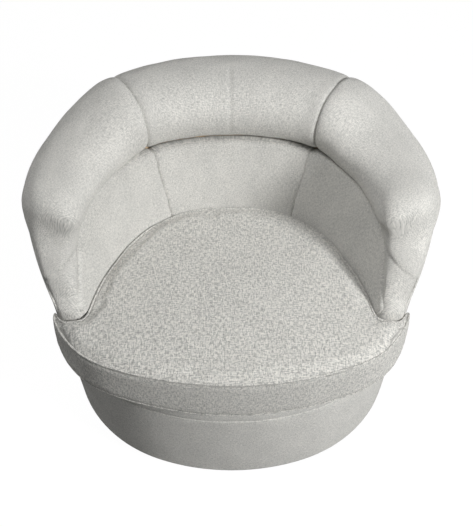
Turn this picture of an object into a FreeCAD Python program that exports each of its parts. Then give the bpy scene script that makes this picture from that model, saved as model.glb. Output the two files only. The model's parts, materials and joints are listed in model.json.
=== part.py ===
"""Swivel barrel chair: an upholstered tub on a ball-bearing turntable and a recessed round plinth.

Millimetres, +Z up, the sitter faces -Y. The origin is on the floor, on the swivel axis.
"""

import FreeCAD
import Part

import math
import os

from FreeCAD import Vector

# Overall form of the tub
FLOOR_GAP = 18.0  # air between the floor and the upholstered body
RIM_Z = 620.0  # height at which the rim outline below is stated
PLAN_CENTRE_Y = 0.0  # widest line of the tub
BASE_HALF_WIDTH = 400.0
BASE_FRONT_REACH = 354.0
BASE_BACK_REACH = 350.0
RIM_HALF_WIDTH = 450.0
RIM_FRONT_REACH = 416.0
RIM_BACK_REACH = 448.0
CAP_ANGLE = 20.0  # half the angle that the flatter front and back arcs turn through
RIM_BACK_Z = 634.0  # top edge of the outside cover at the back
RIM_ARM_Z = 606.0  # and at the front of the arms
RIM_CORNER_RADIUS = 60.0

# Heights of the frame and the seat
SEAT_RING_T = 18.0
SEAT_RING_TOP_Z = 255.0
DECK_Z = 310.0  # where the loose cushion rests
ELBOW_Z = 430.0  # the arm front turns here from upright to sloping
WALL_TOP_Z = 588.0  # top of the rail that carries the roll
TOP_RAIL_T = 18.0

# Inside face of the back and arms, as three arcs on each side at each height
BACK_ARC_CENTRE_Y = -262.0
BACK_ARC_ANGLE = 16.0
CORNER_ARC_END = 54.0
BACK_FACE_Y = {SEAT_RING_TOP_Z: 59.0, ELBOW_Z: 125.0, WALL_TOP_Z: 185.0}
CORNER_RADIUS = {SEAT_RING_TOP_Z: 170.0, ELBOW_Z: 215.0, WALL_TOP_Z: 255.0}
ARM_FACE_RADIUS = {SEAT_RING_TOP_Z: 500.0, ELBOW_Z: 600.0, WALL_TOP_Z: 700.0}
ARM_FRONT_Y = {SEAT_RING_TOP_Z: -242.0, ELBOW_Z: -228.0, WALL_TOP_Z: -104.0}

# Layers of the wall
FIT = 0.35  # gap between neighbouring soft or curved pieces
COVER_T = 8.0
BOARD_T = 4.0
INSIDE_PAD_T = 30.0
NOSE_PAD_T = 22.0
WEBBING_T = 2.0
WEBBING_WIDTH = 50.0
WEBBING_Z = (330.0, 420.0, 510.0)
RIB_T = 18.0
RIB_HOLE_MARGIN = 34.0
PAD_SEAM = (51.0, -79.0)  # sewn joints at the back corners: bearing, and y where they would meet
ROLL_SEAM = (62.4, -233.0)

# Roll along the rim, each size stated at bearings of the inside face from the arm's end to the back
ROLL_OVERHANG = {18.0: 44.0, 24.0: 27.0, 32.0: 11.0, 60.0: 10.0, 90.0: 15.0}
ROLL_CENTRE_Z = {18.0: 602.0, 30.0: 604.0, 40.0: 618.0, 52.0: 636.0, 90.0: 634.0}
ROLL_HALF_HEIGHT = {18.0: 48.0, 30.0: 53.0, 40.0: 66.0, 52.0: 79.0, 90.0: 80.0}
ROLL_SLOPE = {18.0: 0.0, 40.0: 0.06, 60.0: 0.12, 90.0: 0.14}
ROLL_SQUARE = 2.15

# Sprung deck
WELL_INSET = 28.0
WELL_FRONT_Y = -318.0
WELL_HALF_WIDTH = 236.0
WELL_CORNER = 40.0
SPRING_XS = (-144.0, -48.0, 48.0, 144.0)
SPRING_WIRE = 3.6
SPRING_HALF_WIDTH = 26.0
SPRING_PITCH = 40.0
CLIP_SIZE = (26.0, 16.0, 5.4)  # across, along the spring, high
INSULATOR_T = 1.6
DECK_CLOTH_T = 1.5
DECK_FRONT_Y = WELL_FRONT_Y - CLIP_SIZE[1] - 1.0

# Loose cushion
CUSHION_GAP = 6.0
CUSHION_FRONT_Y = -399.0
CUSHION_HALF_WIDTH = 406.0
CUSHION_FRONT_R = 645.0
CUSHION_FRONT_ANGLE = 24.3
CUSHION_TIP_X = 394.0
CUSHION_WING_BACK_Y = -168.0
CUSHION_CROWN_Z = 445.0
CUSHION_CROWN_RADIUS = 2000.0
CUSHION_CROWN_Y = -60.0
COVER_CLOTH_T = 3.0

# Turntable and plinth
GLIDE_H = 4.0
GLIDE_INNER_R = 205.0
GLIDE_OUTER_R = 232.0
PLINTH_R = 245.0
PLINTH_T = 22.0
PLINTH_EDGE = 3.0
PLATE_T = 5.0
PLATE_HALF = 110.0
PLATE_CORNER = 22.0
PLATE_SPACING = 4.0
RACE_R = 74.0
BALL_R = 4.5
BALL_CLEARANCE = 0.1
BALL_COUNT = 12
CAGE_T = 1.2
CAGE_HALF_WIDTH = 8.0
KINGPIN_R = 8.0
KINGPIN_HEAD_R = 14.0
KINGPIN_HEAD_H = 3.5
KINGPIN_CLEARANCE = 0.06
KINGPIN_END_PLAY = 0.1
BOLT_R = 3.0
BOLT_HEAD_R = 6.0
BOLT_HEAD_H = 3.2
BOLT_LENGTH = 30.0
BOLT_CIRCLE_R = 98.0
SCREW_R = 2.2
SCREW_HEAD_R = 4.4
SCREW_LENGTH = 16.0
SCREW_CIRCLE_R = 122.0

# Base frame
RING_T = 22.0
RING_BORE_R = 262.0
STRETCHER_W = 46.0
STRETCHER_H = 40.0
POST_W = 42.0
POST_D = 28.0
POST_ANGLES = (90.0, 45.0, 135.0, 0.0, 180.0, -45.0, -135.0, -90.0)
POST_INSET = 6.0
DUST_COVER_T = 1.0

# Ribs of the frame, and stations of the roll
RIBS = {"rib_rear": 90.0, "rib_corner": 62.0, "rib_side": 34.0, "rib_arm": 8.0}
ROLL_ARM_STATIONS = [
    (18.0, 0.45),
    (18.6, 0.72),
    (19.8, 0.9),
    (21.6, 0.98),
    (24.0, 1.0),
    (27.5, 1.0),
    (32.0, 1.0),
    (38.0, 1.0),
    (45.0, 1.0),
    (53.0, 1.0),
    (62.0, 1.0),
    (70.0, 1.0),
]
ROLL_BACK_BEARINGS = (44.0, 52.0, 60.0, 70.0, 80.0)
ARM_POST_DEPTH = 30.0
WEBBING_END = 24.0
DECK_EDGE_INSET = 17.0
FRONT_ROLL_RADIUS = 26.0
FRONT_ROLL_END = 8.0

# The wall is lofted through these heights and then trimmed
LIFT_HEIGHTS = (SEAT_RING_TOP_Z - 20.0, ELBOW_Z, WALL_TOP_Z + 20.0)

PART_FOLDER = "parts"
TALL = 2000.0


def polar(centre, radius, degrees):
    """A plan point at a bearing from a centre."""
    turn = math.radians(degrees)
    return (centre[0] + radius * math.cos(turn), centre[1] + radius * math.sin(turn))


def blend(table, z):
    """A size stated at a few heights, read off at any height on straight lines between them."""
    heights = sorted(table)
    low, high = heights[0], heights[1]
    for first, second in zip(heights, heights[1:]):
        if z >= first:
            low, high = first, second
    share = (z - low) / (high - low)
    return table[low] + (table[high] - table[low]) * share


def meet(centre_a, radius_a, centre_b, radius_b):
    """The front one of the two points where two circles cross."""
    dx, dy = centre_b[0] - centre_a[0], centre_b[1] - centre_a[1]
    apart = math.hypot(dx, dy)
    along = (radius_a**2 - radius_b**2 + apart**2) / (2.0 * apart)
    aside = math.sqrt(max(radius_a**2 - along**2, 0.0))
    ux, uy = dx / apart, dy / apart
    found = [
        (centre_a[0] + along * ux - side * uy, centre_a[1] + along * uy + side * ux)
        for side in (aside, -aside)
    ]
    return min(found, key=lambda p: p[1])


def bearing(start, end):
    return math.degrees(math.atan2(end[1] - start[1], end[0] - start[0]))


def mirrored(arc):
    """The same arc on the left, run through the other way."""
    (x, y), radius, first, last = arc
    return ((-x, y), radius, 180.0 - last, 180.0 - first)


def wire(arcs, z):
    """A closed or open wire of arcs given as (centre, radius, first bearing, last bearing)."""
    edges = []
    for centre, radius, first, last in arcs:
        three = [polar(centre, radius, a) for a in (first, 0.5 * (first + last), last)]
        edges.append(Part.Arc(*[Vector(x, y, z) for x, y in three]).toShape())
    return Part.Wire(edges)


def quarter(half_width, reach, cap_angle):
    """Radii of the side arc and of the cap arc of one quarter of an oval."""
    turn = math.radians(cap_angle)
    gap = (half_width - reach) / (math.sin(turn) + math.cos(turn) - 1.0)
    side = half_width - gap * math.sin(turn)
    return side, side + gap


class Oval:
    """Outline of the tub at one height: a flatter cap at the front and back, and rounder sides."""

    def __init__(self, z, inset=0.0):
        share = (z - FLOOR_GAP) / (RIM_Z - FLOOR_GAP)
        self.half_width = BASE_HALF_WIDTH + (RIM_HALF_WIDTH - BASE_HALF_WIDTH) * share
        front = BASE_FRONT_REACH + (RIM_FRONT_REACH - BASE_FRONT_REACH) * share
        back = BASE_BACK_REACH + (RIM_BACK_REACH - BASE_BACK_REACH) * share
        side_front, cap_front = quarter(self.half_width, front, CAP_ANGLE)
        side_back, cap_back = quarter(self.half_width, back, CAP_ANGLE)
        self.z = z
        self.front_y = PLAN_CENTRE_Y - front + inset
        self.back_y = PLAN_CENTRE_Y + back - inset
        self.side_front = ((self.half_width - side_front, PLAN_CENTRE_Y), side_front - inset)
        self.side_back = ((self.half_width - side_back, PLAN_CENTRE_Y), side_back - inset)
        self.cap_front = ((0.0, PLAN_CENTRE_Y - front + cap_front), cap_front - inset)
        self.cap_back = ((0.0, PLAN_CENTRE_Y + back - cap_back), cap_back - inset)

    def arcs(self):
        turn = 90.0 - CAP_ANGLE
        side_back = (*self.side_back, turn, 0.0)
        side_front = (*self.side_front, 0.0, -turn)
        return [
            (*self.cap_back, 180.0 - turn, turn),
            side_back,
            side_front,
            (*self.cap_front, -turn, turn - 180.0),
            mirrored(side_front),
            mirrored(side_back),
        ]

    def reach(self, start, degrees):
        """Distance from a plan point to the outline along a bearing."""
        ux, uy = math.cos(math.radians(degrees)), math.sin(math.radians(degrees))
        best = None
        for centre, radius, first, last in self.arcs():
            px, py = start[0] - centre[0], start[1] - centre[1]
            along = px * ux + py * uy
            inside = along**2 - (px**2 + py**2 - radius**2)
            if inside < 0:
                continue
            far = -along + math.sqrt(inside)
            hit = (start[0] + far * ux, start[1] + far * uy)
            at = bearing(centre, hit)
            low, high = sorted((first, last))
            if any(low - 1e-6 <= at + turn <= high + 1e-6 for turn in (-360.0, 0.0, 360.0)):
                best = far
        return best


def barrel(inset, low, high):
    """The whole tub as a drafted solid between two heights, its sides moved in by inset."""
    wires = [wire(Oval(z, inset).arcs(), z) for z in (low, high)]
    return Part.makeLoft(wires, True, True)


class Face:
    """Inside face of the back and arms at one height, moved out into the wall by inset."""

    def __init__(self, z, inset=0.0):
        first, second = 90.0 - BACK_ARC_ANGLE, 90.0 - CORNER_ARC_END
        radii = [
            blend(BACK_FACE_Y, z) - BACK_ARC_CENTRE_Y,
            blend(CORNER_RADIUS, z),
            blend(ARM_FACE_RADIUS, z),
        ]
        back = (0.0, BACK_ARC_CENTRE_Y)
        corner = polar(back, radii[0] - radii[1], first)
        arm = polar(corner, radii[1] - radii[2], second)
        self.z = z
        self.back = (back, radii[0] + inset)
        self.corner = (corner, radii[1] + inset)
        self.arm = (arm, radii[2] + inset)
        self.first, self.second = first, second

    def point(self, degrees):
        """The point of the face whose outward normal has this bearing, on the right."""
        if degrees >= self.first:
            centre, radius = self.back
        elif degrees >= self.second:
            centre, radius = self.corner
        else:
            centre, radius = self.arm
        return polar(centre, radius, degrees)

    def rear_y(self, x):
        """Where the face crosses a fore-and-aft line."""
        for (cx, cy), radius, low in (
            (*self.back, self.first),
            (*self.corner, self.second),
            (*self.arm, -90.0),
        ):
            across = (abs(x) - cx) / radius
            if abs(across) <= 1.0 and math.degrees(math.acos(across)) >= low:
                return cy + radius * math.sin(math.acos(across))
        return None

    def arcs(self, end):
        """From the right-hand arm, whose arc begins at the bearing end, round the back to the left."""
        arm = (*self.arm, end, self.second)
        corner = (*self.corner, self.second, self.first)
        return [
            arm,
            corner,
            (*self.back, self.first, 180.0 - self.first),
            mirrored(corner),
            mirrored(arm),
        ]


def nose(oval, face, front_y):
    """The round end of an arm: a circle that touches the tub's side and the inside face.

    Its front is at front_y, so its radius is found by halving."""
    low, high = 4.0, 150.0
    for _ in range(60):
        radius = 0.5 * (low + high)
        centre = meet(
            oval.side_front[0],
            oval.side_front[1] - radius,
            face.arm[0],
            face.arm[1] + radius,
        )
        if centre[1] - radius < front_y:
            low = radius
        else:
            high = radius
    return centre, radius


class Horseshoe:
    """Plan of the wall at one height, with its outer side, inner side and arm ends moved in."""

    def __init__(self, z, outer=0.0, inner=0.0, end=0.0):
        self.z = z
        self.oval = Oval(z, outer)
        self.face = Face(z, inner)
        self.front_y = blend(ARM_FRONT_Y, z) + end
        self.centre, self.radius = nose(self.oval, self.face, self.front_y)
        self.outer_bearing = bearing(self.oval.side_front[0], self.centre)
        self.inner_bearing = bearing(self.face.arm[0], self.centre)

    def welt_y(self):
        """Where the side of the tub ends and the round of the arm begins."""
        return polar(*self.oval.side_front, self.outer_bearing)[1]

    def arcs(self):
        turn = 90.0 - CAP_ANGLE
        side_back = (*self.oval.side_back, turn, 0.0)
        side_front = (*self.oval.side_front, 0.0, self.outer_bearing)
        end = (self.centre, self.radius, self.outer_bearing, self.inner_bearing - 180.0)
        return [
            (*self.oval.cap_back, 180.0 - turn, turn),
            side_back,
            side_front,
            end,
            *self.face.arcs(self.inner_bearing),
            mirrored(end),
            mirrored(side_front),
            mirrored(side_back),
        ]


def wall(low, high, outer=0.0, inner=0.0, end=0.0):
    """The wall of the back and arms between two heights, in two lifts that meet at the elbow."""
    wires = [wire(Horseshoe(z, outer, inner, end).arcs(), z) for z in LIFT_HEIGHTS]
    return Part.makeLoft(wires, True, True).common(slab(low, high))


def slab(low, high):
    """Everything between two heights."""
    return Part.makeBox(TALL, TALL, high - low, Vector(-TALL / 2, -TALL / 2, low))


def prism_yz(points):
    """A side view outline, from points (y, z), run right across the chair."""
    corners = [Vector(-TALL / 2, y, z) for y, z in points]
    face = Part.Face(Part.makePolygon([*corners, corners[0]]))
    return face.extrude(Vector(TALL, 0, 0))


def largest(shape):
    return max(shape.Solids, key=lambda s: s.Volume)


def save(name, *solids):
    """One file for one node. Several solids are alike pieces that share it."""
    kept = [s for shape in solids for s in shape.Solids]
    whole = kept[0] if len(kept) == 1 else Part.makeCompound(kept)
    whole.exportStep(os.path.join(PART_FOLDER, name + ".step"))
    print(
        f"{name}: {len(kept)} solid(s), {sum(s.Volume for s in kept) / 1000.0:.1f} cm3,"
        f" valid {whole.isValid()}"
    )


def save_pair(name, shape):
    """The piece at the sitter's left, and its mirror image at the right."""
    left = max(shape.Solids, key=lambda s: (round(s.CenterOfMass.x) > 0, s.Volume))
    save(name + "_left", left)
    save(name + "_right", left.mirror(Vector(), Vector(1, 0, 0)))


def ring_of(count, radius, z, make):
    """Copies of a piece on a circle round the swivel axis."""
    return [
        make(Vector(*polar((0.0, 0.0), radius, 360.0 * (i + 0.5) / count), z))
        for i in range(count)
    ]


def cylinder(radius, low, high, x=0.0, y=0.0):
    return Part.makeCylinder(radius, high - low, Vector(x, y, low))


def chamfered(radius, low, high, edge):
    """A disc with its two rims taken off."""
    disc = cylinder(radius, low, high)
    return disc.makeChamfer(edge, [e for e in disc.Edges if len(e.Vertexes) == 1])


def square_plate(low, high):
    """The pressed plate of the turntable, with round corners."""
    size = 2.0 * PLATE_HALF
    plate = Part.makeBox(size, size, high - low, Vector(-PLATE_HALF, -PLATE_HALF, low))
    upright = [e for e in plate.Edges if abs(e.BoundBox.ZLength - (high - low)) < 1e-6]
    return plate.makeFillet(PLATE_CORNER, upright)


# Heights that follow from the sizes above
PLINTH_TOP_Z = GLIDE_H + PLINTH_T
LOWER_PLATE_TOP_Z = PLINTH_TOP_Z + PLATE_T
UPPER_PLATE_Z = LOWER_PLATE_TOP_Z + PLATE_SPACING
STRETCHER_Z = UPPER_PLATE_Z + PLATE_T
STRETCHER_TOP_Z = STRETCHER_Z + STRETCHER_H
BALL_Z = LOWER_PLATE_TOP_Z + 0.5 * PLATE_SPACING
RING_TOP_Z = FLOOR_GAP + RING_T
SEAT_RING_Z = SEAT_RING_TOP_Z - SEAT_RING_T
TOP_RAIL_Z = WALL_TOP_Z - TOP_RAIL_T
FRAME_INSET = COVER_T + FIT + BOARD_T
SPRING_Z = SEAT_RING_TOP_Z + 0.5 * CLIP_SIZE[2]
INSULATOR_Z = SEAT_RING_TOP_Z + CLIP_SIZE[2] + FIT
DECK_PAD_Z = INSULATOR_Z + INSULATOR_T + FIT
DECK_PAD_TOP_Z = DECK_Z - DECK_CLOTH_T - FIT


def make_turntable():
    """Plinth, two grooved plates, caged balls and the kingpin, on the swivel axis."""
    groove = Part.makeTorus(RACE_R, BALL_R + BALL_CLEARANCE, Vector(0, 0, BALL_Z))
    save("glide_ring", cylinder(GLIDE_OUTER_R, 0, GLIDE_H).cut(cylinder(GLIDE_INNER_R, 0, GLIDE_H)))
    kingpin = (
        cylinder(KINGPIN_R, PLINTH_TOP_Z, STRETCHER_Z + KINGPIN_END_PLAY)
        .fuse(cylinder(KINGPIN_HEAD_R, PLINTH_TOP_Z - KINGPIN_HEAD_H, PLINTH_TOP_Z))
        .fuse(
            cylinder(
                KINGPIN_HEAD_R,
                STRETCHER_Z + KINGPIN_END_PLAY,
                STRETCHER_Z + KINGPIN_END_PLAY + KINGPIN_HEAD_H,
            )
        )
        .removeSplitter()
    )
    screws = []
    for i in range(4):
        x, y = polar((0.0, 0.0), SCREW_CIRCLE_R, 45.0 + 90.0 * i)
        head_z = LOWER_PLATE_TOP_Z - (SCREW_HEAD_R - SCREW_R)
        head = Part.makeCone(SCREW_R, SCREW_HEAD_R, LOWER_PLATE_TOP_Z - head_z, Vector(x, y, head_z))
        screws.append(head.fuse(cylinder(SCREW_R, head_z - SCREW_LENGTH, head_z, x, y)))
    lower = square_plate(PLINTH_TOP_Z, LOWER_PLATE_TOP_Z).cut([groove, kingpin, *screws])
    save("plinth_disc", chamfered(PLINTH_R, GLIDE_H, PLINTH_TOP_Z, PLINTH_EDGE).cut([kingpin, *screws]))
    save("swivel_lower_plate", lower)
    save("lower_plate_screws", *screws)
    save("kingpin", kingpin)

    balls = ring_of(BALL_COUNT, RACE_R, BALL_Z, lambda p: Part.makeSphere(BALL_R, p))
    pockets = ring_of(
        BALL_COUNT,
        RACE_R,
        BALL_Z - CAGE_T / 2,
        lambda p: Part.makeCylinder(BALL_R + BALL_CLEARANCE, CAGE_T, p),
    )
    cage_low, cage_high = BALL_Z - CAGE_T / 2, BALL_Z + CAGE_T / 2
    cage = cylinder(RACE_R + CAGE_HALF_WIDTH, cage_low, cage_high)
    cage = cage.cut([cylinder(RACE_R - CAGE_HALF_WIDTH, cage_low, cage_high), *pockets])
    save("ball_retainer", cage)
    save("bearing_balls", *balls)

    bolts = []
    for i in range(4):
        x, y = polar((0.0, 0.0), BOLT_CIRCLE_R, 90.0 * i)
        head = cylinder(BOLT_HEAD_R, UPPER_PLATE_Z - BOLT_HEAD_H, UPPER_PLATE_Z, x, y)
        bolts.append(head.fuse(cylinder(BOLT_R, UPPER_PLATE_Z, UPPER_PLATE_Z + BOLT_LENGTH, x, y)))
    bore = cylinder(KINGPIN_R + KINGPIN_CLEARANCE, UPPER_PLATE_Z, STRETCHER_Z)
    save("swivel_upper_plate", square_plate(UPPER_PLATE_Z, STRETCHER_Z).cut([groove, bore, *bolts]))
    save("upper_plate_bolts", *bolts)
    return bolts


def make_base_frame(bolts):
    """Bottom ring, the cross that sits on the turntable, and short posts up to the seat."""
    ring = barrel(FRAME_INSET, FLOOR_GAP, RING_TOP_Z).cut(cylinder(RING_BORE_R, 0, TALL))
    save("bottom_ring", ring)
    sheet = barrel(FRAME_INSET + 2.0, FLOOR_GAP - DUST_COVER_T, FLOOR_GAP)
    save("dust_cover", sheet.cut(cylinder(RING_BORE_R + 3.0, 0, TALL)))

    outline = Oval(RING_TOP_Z, FRAME_INSET + POST_INSET)
    posts = []
    reaches = {}
    for degrees in POST_ANGLES:
        reach = outline.reach((0.0, 0.0), degrees)
        reaches[degrees] = reach - POST_D
        post = Part.makeBox(
            POST_D,
            POST_W,
            SEAT_RING_Z - RING_TOP_Z,
            Vector(reach - POST_D, -POST_W / 2, RING_TOP_Z),
        )
        posts.append(post.rotate(Vector(), Vector(0, 0, 1), degrees) or post)
    save("base_posts", *posts)

    room = cylinder(KINGPIN_HEAD_R + 2.0, STRETCHER_Z, STRETCHER_Z + KINGPIN_HEAD_H + 2.0)
    middle_z = STRETCHER_Z + STRETCHER_H / 2
    low_notch = slab(STRETCHER_Z - 1.0, middle_z)
    high_notch = slab(middle_z, STRETCHER_TOP_Z + 1.0)
    square = Part.makeBox(STRETCHER_W, STRETCHER_W, 400, Vector(-STRETCHER_W / 2, -STRETCHER_W / 2, 0))
    half = STRETCHER_W / 2
    side = reaches[0.0]
    across = Part.makeBox(2 * side, STRETCHER_W, STRETCHER_H, Vector(-side, -half, STRETCHER_Z))
    front, back = reaches[-90.0], reaches[90.0]
    along = Part.makeBox(STRETCHER_W, front + back, STRETCHER_H, Vector(-half, -front, STRETCHER_Z))
    save("cross_stretcher", across.cut([square.common(high_notch), room, *bolts]))
    save("long_stretcher", along.cut([square.common(low_notch), room, *bolts]))


def tub_room(low, high, inset, end=2.0):
    """What the inside face encloses, closed off by a straight line where its bearing is end."""
    wires = []
    for z in LIFT_HEIGHTS:
        face = Face(z, inset)
        x, y = polar(*face.arm, end)
        line = Part.makeLine(Vector(-x, y, z), Vector(x, y, z))
        wires.append(Part.Wire([*wire(face.arcs(end), z).Edges, line]))
    return Part.makeLoft(wires, True, True).common(slab(low, high))


def wall_zone(low, high, gap=FIT):
    """The solids that a neighbour of the wall is cut with: the arm ends, and the rest."""
    around = barrel(-gap, FLOOR_GAP, WALL_TOP_Z + 20.0).cut(tub_room(0, TALL, -gap))
    around = around.common(behind_nose()).common(slab(low, high))
    return [wall(low, high, -gap, -gap, -gap), around]


def nose_line(offset):
    """Side view of the line where the round of the arm begins, as points (y, z)."""
    marks = [(Horseshoe(z).centre[1] + offset, z) for z in sorted(ARM_FRONT_Y)]
    (y0, z0), (y1, z1) = marks[0], marks[1]
    (y2, z2), (y3, z3) = marks[1], marks[2]
    foot = (y0 + (y0 - y1) / (z1 - z0) * 60.0, z0 - 60.0)
    head = (y3 + (y3 - y2) / (z3 - z2) * 200.0, z3 + 200.0)
    return [foot, *marks, head]


def behind_nose(offset=0.0):
    line = nose_line(offset)
    return prism_yz([*line, (TALL / 2, line[-1][1]), (TALL / 2, line[0][1])])


def before_nose(offset=0.0):
    line = nose_line(offset)
    return prism_yz([*line, (-TALL / 2, line[-1][1]), (-TALL / 2, line[0][1])])


def rim_profile(drop=0.0):
    """Side view of the outside cover: low in front, up the arm, then back along the rim."""
    lift = SEAT_RING_TOP_Z - FIT - drop
    marks = nose_line(FIT)
    slope = (RIM_BACK_Z - RIM_ARM_Z) / (RIM_BACK_REACH - ARM_FRONT_Y[WALL_TOP_Z])
    (ya, za), (yb, zb) = marks[-2], marks[-1]
    run = (yb - ya) / (zb - za)
    # where the rising front line meets the rim line
    top_z = RIM_ARM_Z - drop
    start_y = ARM_FRONT_Y[WALL_TOP_Z]
    corner_z = (top_z + slope * (ya - run * za - start_y)) / (1.0 - slope * run)
    corner_y = ya + run * (corner_z - za)
    end_z = top_z + slope * (TALL / 2 - ARM_FRONT_Y[WALL_TOP_Z])
    foot_y = marks[1][0] + (marks[0][0] - marks[1][0]) * drop / 60.0
    points = [
        (-TALL / 2, lift),
        (foot_y, lift),
        marks[2],
        (corner_y, corner_z),
        (TALL / 2, end_z),
        (TALL / 2, -100.0),
        (-TALL / 2, -100.0),
    ]
    solid = prism_yz(points)
    edges = [
        e
        for e in solid.Edges
        if e.BoundBox.XLength > TALL / 2
        and abs(e.BoundBox.YMin - corner_y) < 1e-3
        and abs(e.BoundBox.ZMin - corner_z) < 1e-3
    ]
    return solid.makeFillet(RIM_CORNER_RADIUS - drop, edges)


def make_frame():
    """Seat ring, shaped ribs, arm posts and the rail under the roll."""
    ring = barrel(FRAME_INSET, SEAT_RING_Z, SEAT_RING_TOP_Z)
    room = Face(SEAT_RING_TOP_Z, -WELL_INSET)
    (_, cy), radius = room.arm
    end = math.degrees(math.asin((WELL_FRONT_Y + 60.0 - cy) / radius))
    curve = wire(room.arcs(end), SEAT_RING_Z - 1.0)
    x, y = polar(*room.arm, end)
    half = WELL_HALF_WIDTH
    front = [Vector(-x, y), Vector(-half, WELL_FRONT_Y + 30.0), Vector(-half + 30.0, WELL_FRONT_Y)]
    front += [Vector(-v.x, v.y) for v in reversed(front)]
    for v in front:
        v.z = SEAT_RING_Z - 1.0
    outline = Part.Wire([*curve.Edges, *Part.makePolygon(front).Edges])
    well = Part.Face(outline).extrude(Vector(0, 0, SEAT_RING_T + 2.0))
    save("seat_ring", ring.cut(well))

    inner = INSIDE_PAD_T + FIT + WEBBING_T + FIT
    body = wall(SEAT_RING_TOP_Z, TOP_RAIL_Z, FRAME_INSET, inner, NOSE_PAD_T + FIT)
    body = body.cut(tub_room(0, TALL, inner))
    hole = wall(
        SEAT_RING_TOP_Z + RIB_HOLE_MARGIN,
        TOP_RAIL_Z - RIB_HOLE_MARGIN,
        FRAME_INSET + RIB_HOLE_MARGIN,
        inner + RIB_HOLE_MARGIN,
        NOSE_PAD_T + FIT,
    )
    for name, degrees in RIBS.items():
        board = Part.makeBox(TALL, RIB_T, TALL, Vector(0, -RIB_T / 2, 0))
        board.rotate(Vector(), Vector(0, 0, 1), degrees)
        rib = largest(body.common(board).cut(hole))
        if degrees == 90.0:
            save(name, rib)
        else:
            save_pair(name, rib)

    in_nose = (NOSE_PAD_T + FIT, NOSE_PAD_T + FIT, NOSE_PAD_T + FIT)
    post = wall(
        SEAT_RING_TOP_Z, TOP_RAIL_Z, NOSE_PAD_T + FIT, INSIDE_PAD_T + 2 * FIT, NOSE_PAD_T + FIT
    )
    post = post.common(wall(SEAT_RING_TOP_Z, TOP_RAIL_Z, *in_nose))
    post = post.cut(tub_room(0, TALL, INSIDE_PAD_T + 2 * FIT))
    save_pair("arm_post", post.common(before_nose(ARM_POST_DEPTH)))

    rail = wall(TOP_RAIL_Z, WALL_TOP_Z, FRAME_INSET, INSIDE_PAD_T + FIT, NOSE_PAD_T + FIT)
    nose_band = before_nose(FIT).cut(wall(TOP_RAIL_Z - 5, WALL_TOP_Z + 5, *in_nose))
    save("top_rail", largest(rail.cut([nose_band, tub_room(0, TALL, INSIDE_PAD_T + FIT)])))


def make_outside():
    """Board and cover round the outside, cut to the line of the rim."""
    low, high = FLOOR_GAP, RIM_BACK_Z + 60.0
    shell = barrel(0.0, low, high).cut(barrel(COVER_T, low - 1, high + 1))
    save("outside_cover", largest(shell.common(rim_profile())))
    board = barrel(COVER_T + FIT, low, WALL_TOP_Z).cut(barrel(FRAME_INSET, low - 1, high + 1))
    save("outside_board", largest(board.common(rim_profile(14.0))))


def make_inside():
    """Pads and webbing of the back and arms."""
    low, high = SEAT_RING_TOP_Z + FIT, WALL_TOP_Z - FIT
    layer = tub_room(low, high, INSIDE_PAD_T)
    layer = layer.cut(tub_room(0, TALL, 0.0, -6.0))
    layer = layer.common(behind_nose(FIT))
    wedge = seam_wedge(PAD_SEAM, 0.0, low - 5, high + 5)
    save("inside_back_pad", largest(layer.common(wedge)))
    save_pair("inside_arm_pad", layer.cut(seam_wedge(PAD_SEAM, FIT, low - 5, high + 5)))

    bands = []
    ring = tub_room(low, high, INSIDE_PAD_T + FIT + WEBBING_T, WEBBING_END)
    ring = ring.cut(tub_room(0, TALL, INSIDE_PAD_T + FIT, WEBBING_END - 8.0))
    for z in WEBBING_Z:
        bands.append(largest(ring.common(slab(z - WEBBING_WIDTH / 2, z + WEBBING_WIDTH / 2))))
    save("back_webbing", *bands)

    nose_pad = wall(low, high).cut(wall(0, TALL, NOSE_PAD_T, NOSE_PAD_T, NOSE_PAD_T))
    save_pair("arm_front_pad", nose_pad.common(before_nose()))


def seam_wedge(seam, grow, low, high):
    """The part of the plan behind the two back seams, which run out from the back's centre."""
    turn = math.radians(seam[0])
    apex = (0.0, seam[1] - grow / math.cos(turn))
    far = 1500.0
    right = (apex[0] + far * math.cos(turn), apex[1] + far * math.sin(turn))
    points = [apex, right, (0.0, far * 1.5), (-right[0], right[1])]
    corners = [Vector(x, y, low) for x, y in points]
    return Part.Face(Part.makePolygon([*corners, corners[0]])).extrude(Vector(0, 0, high - low))


def roll_section(degrees, scale):
    """One cross section of the roll, square to the inside face at this bearing on the right.

    It starts and ends at its lowest point, and its outer side hangs lower by the slope."""
    angle = degrees if degrees <= 90.0 else 180.0 - degrees
    near = Face(WALL_TOP_Z).point(angle)
    reach = Oval(RIM_Z).reach(near, angle)
    overhang = blend(ROLL_OVERHANG, angle)
    centre_z = blend(ROLL_CENTRE_Z, angle)
    high = blend(ROLL_HALF_HEIGHT, angle)
    slope = blend(ROLL_SLOPE, angle)
    half = 0.5 * (reach + overhang)
    middle = 0.5 * (reach - overhang)
    points = []
    for i in range(13):
        turn = math.radians(30.0 * i - 90.0)
        p, q = math.cos(turn), math.sin(turn)
        size = (abs(p) ** ROLL_SQUARE + abs(q) ** ROLL_SQUARE) ** (-1.0 / ROLL_SQUARE)
        p, q = p * size * half * scale, q * size * high * scale
        x, y = polar(near, middle + p, angle)
        points.append(Vector(-x if degrees > 90.0 else x, y, centre_z + q - slope * p))
    return points


def skinned(sections):
    """A solid through closed rows of points that start and end at their lowest point."""
    surface = Part.BSplineSurface()
    surface.interpolate(sections)
    side = surface.toShape()
    caps = []
    for value in surface.bounds()[:2]:
        caps.append(Part.Face(Part.Wire([surface.uIso(value).toShape()])))
    shell = Part.Shell([side, *caps])
    shell.sewShape()
    solid = Part.Solid(shell)
    if solid.Volume < 0:
        solid.reverse()
    return solid


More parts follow.
